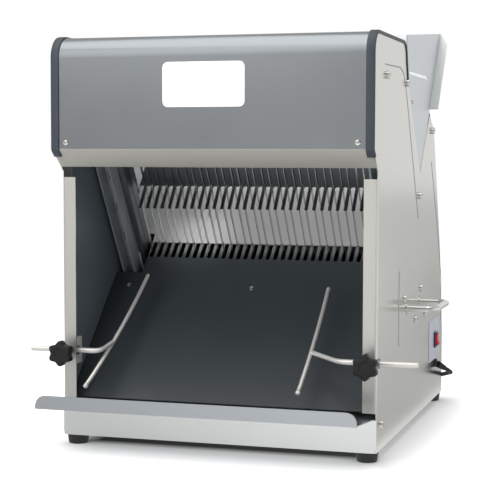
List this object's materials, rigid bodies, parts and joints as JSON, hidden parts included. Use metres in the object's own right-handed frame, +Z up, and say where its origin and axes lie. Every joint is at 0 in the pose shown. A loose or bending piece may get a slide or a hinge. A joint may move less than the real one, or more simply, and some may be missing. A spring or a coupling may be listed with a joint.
{
  "type": "bread slicer machine",
  "caption": "Tabletop bread slicer with a hooded pair of reciprocating blade frames, sloping infeed and outfeed, swinging guide bars and a pull-out crumb tray.",
  "frame": {"origin": "centre of the base footprint, on the floor under the feet", "axes": "+X to the operator's right, +Y from the operator towards the rear, +Z up"},
  "size_m": [0.575, 0.7782, 0.6257],
  "materials": {
    "satin_stainless": "satin",
    "bright_stainless": "near mirror",
    "dark_plate": "satin dark grey coating",
    "blade_steel": "ground",
    "frame_steel": "satin",
    "edge_rubber": "matte",
    "black_rubber": "matte",
    "black_plastic": "fine texture",
    "white_nylon": "matte",
    "cast_grey": "painted cast",
    "motor_grey": "gloss enamel",
    "plated_steel": "zinc or nickel plated",
    "plate_white": "satin, bare",
    "switch_navy": "gloss",
    "switch_red": "gloss"
  },
  "bodies": {
    "machine": {"base_pan": "satin_stainless", "front_base_panel": "satin_stainless", "hood": "satin_stainless", "tray_rails": "satin_stainless", "rear_panel": "satin_stainless", "table_support": "satin_stainless", "motor_base": "satin_stainless", "left_side_panel": "bright_stainless", "right_side_panel": "bright_stainless", "infeed_floor": "bright_stainless", "left_cheek": "bright_stainless", "right_cheek": "bright_stainless", "left_inner_wall": "dark_plate", "right_inner_wall": "dark_plate", "outfeed_table": "dark_plate", "loaf_hold_down": "dark_plate", "left_guide_channel": "frame_steel", "right_guide_channel": "frame_steel", "left_edge_trim": "edge_rubber", "right_edge_trim": "edge_rubber", "feet": "black_rubber", "drive_belt": "black_rubber", "cable_gland": "black_rubber", "power_cord": "black_rubber", "cord_coil": "black_rubber", "clamp_blocks": "black_plastic", "cord_tie": "black_plastic", "mains_plug": "black_plastic", "shaft_bearings": "cast_grey", "motor_housing": "motor_grey", "hood_screws": "plated_steel", "table_screws": "plated_steel", "cheek_screws": "plated_steel", "side_bolts": "plated_steel", "left_carry_handle": "plated_steel", "right_carry_handle": "plated_steel", "name_plate": "plate_white", "switch_plate": "plate_white", "switch_bezel": "switch_navy"},
    "tray": {"crumb_tray": "satin_stainless"},
    "front_frame": {"front_blade_frame": "frame_steel", "front_blades": "blade_steel", "front_slide_shoes": "white_nylon"},
    "rear_frame": {"rear_blade_frame": "frame_steel", "rear_blades": "blade_steel", "rear_slide_shoes": "white_nylon"},
    "crank": {"eccentric_shaft": "frame_steel", "driven_pulley": "cast_grey"},
    "front_rods": {"front_conrods": "frame_steel"},
    "rear_rods": {"rear_conrods": "frame_steel"},
    "rotor": {"motor_rotor": "frame_steel", "motor_pulley": "cast_grey"},
    "left_bush": {"left_clamp_bush": "white_nylon"},
    "left_bar": {"left_guide_bar": "plated_steel"},
    "right_bush": {"right_clamp_bush": "white_nylon"},
    "right_bar": {"right_guide_bar": "plated_steel"},
    "left_knob": {"left_clamp_knob": "black_plastic"},
    "right_knob": {"right_clamp_knob": "black_plastic"},
    "rocker": {"switch_rocker": "switch_red"}
  },
  "joints": [
    {"name": "tray_slide", "type": "slide", "parent": "machine", "child": "tray", "axis": [0, -1, 0], "range_m": [0, 0.3]},
    {"name": "front_frame_stroke", "type": "slide", "parent": "machine", "child": "front_frame", "axis": [0, -0.5519, 0.8339], "range_m": [-0.01, 0.01]},
    {"name": "rear_frame_stroke", "type": "slide", "parent": "machine", "child": "rear_frame", "axis": [0, -0.5519, 0.8339], "range_m": [-0.01, 0.01]},
    {"name": "crank_spin", "type": "hinge", "parent": "machine", "child": "crank", "pos_m": [0, 0.10725, 0.168], "axis": [1, 0, 0], "continuous": true},
    {"name": "front_rod_turn", "type": "hinge", "parent": "crank", "child": "front_rods", "pos_m": [0, 0.09891, 0.16248], "axis": [1, 0, 0], "continuous": true},
    {"name": "rear_rod_turn", "type": "hinge", "parent": "crank", "child": "rear_rods", "pos_m": [0, 0.11559, 0.17352], "axis": [1, 0, 0], "continuous": true},
    {"name": "motor_spin", "type": "hinge", "parent": "machine", "child": "rotor", "pos_m": [0, 0.24025, 0.1055], "axis": [1, 0, 0], "continuous": true},
    {"name": "left_bar_swing", "type": "hinge", "parent": "machine", "child": "left_bush", "pos_m": [-0.222, -0.21275, 0.137], "axis": [1, 0, 0], "range_deg": [-8, 50]},
    {"name": "left_bar_slide", "type": "slide", "parent": "left_bush", "child": "left_bar", "axis": [1, 0, 0], "range_m": [-0.018, 0.05]},
    {"name": "right_bar_swing", "type": "hinge", "parent": "machine", "child": "right_bush", "pos_m": [0.222, -0.21275, 0.137], "axis": [1, 0, 0], "range_deg": [-8, 50]},
    {"name": "right_bar_slide", "type": "slide", "parent": "right_bush", "child": "right_bar", "axis": [1, 0, 0], "range_m": [-0.05, 0.025]},
    {"name": "left_knob_turn", "type": "hinge", "parent": "machine", "child": "left_knob", "pos_m": [-0.2225, -0.25275, 0.137], "axis": [0, -1, 0], "range_deg": [0, 360]},
    {"name": "right_knob_turn", "type": "hinge", "parent": "machine", "child": "right_knob", "pos_m": [0.2225, -0.25275, 0.137], "axis": [0, -1, 0], "range_deg": [0, 360]},
    {"name": "rocker_tilt", "type": "hinge", "parent": "machine", "child": "rocker", "pos_m": [0.2343, 0.24925, 0.114], "axis": [0, 1, 0], "range_deg": [0, 16]}
  ],
  "couplings": [
    {"joint": "rear_frame_stroke", "follows": "front_frame_stroke", "ratio": -1},
    {"joint": "front_rod_turn", "follows": "crank_spin", "ratio": -1},
    {"joint": "rear_rod_turn", "follows": "crank_spin", "ratio": -1},
    {"joint": "motor_spin", "follows": "crank_spin", "ratio": 2.33}
  ]
}
